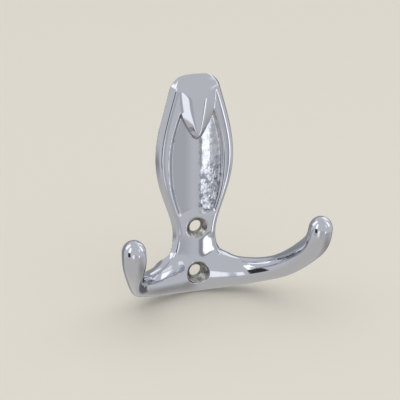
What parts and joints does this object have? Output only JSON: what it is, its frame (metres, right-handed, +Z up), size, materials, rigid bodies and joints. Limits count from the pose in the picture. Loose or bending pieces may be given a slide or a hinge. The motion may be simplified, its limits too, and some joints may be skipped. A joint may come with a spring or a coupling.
{
  "type": "double furniture hook",
  "caption": "Leaf-shaped cast wall hook with two rising arms, a sunk front panel and countersunk screw holes, bright chrome plated.",
  "frame": {"origin": "on the wall plane, midway between the two screw holes", "axes": "+X to the right as seen from the room, -Y out of the wall, +Z up"},
  "size_m": [0.073, 0.0369, 0.0778],
  "materials": {
    "chrome_plate": "bright chrome plate over polished zinc, slightly uneven in the sunk panel and duller in the countersinks"
  },
  "bodies": {
    "root": {"cast_hook": "chrome_plate"}
  },
  "joints": []
}
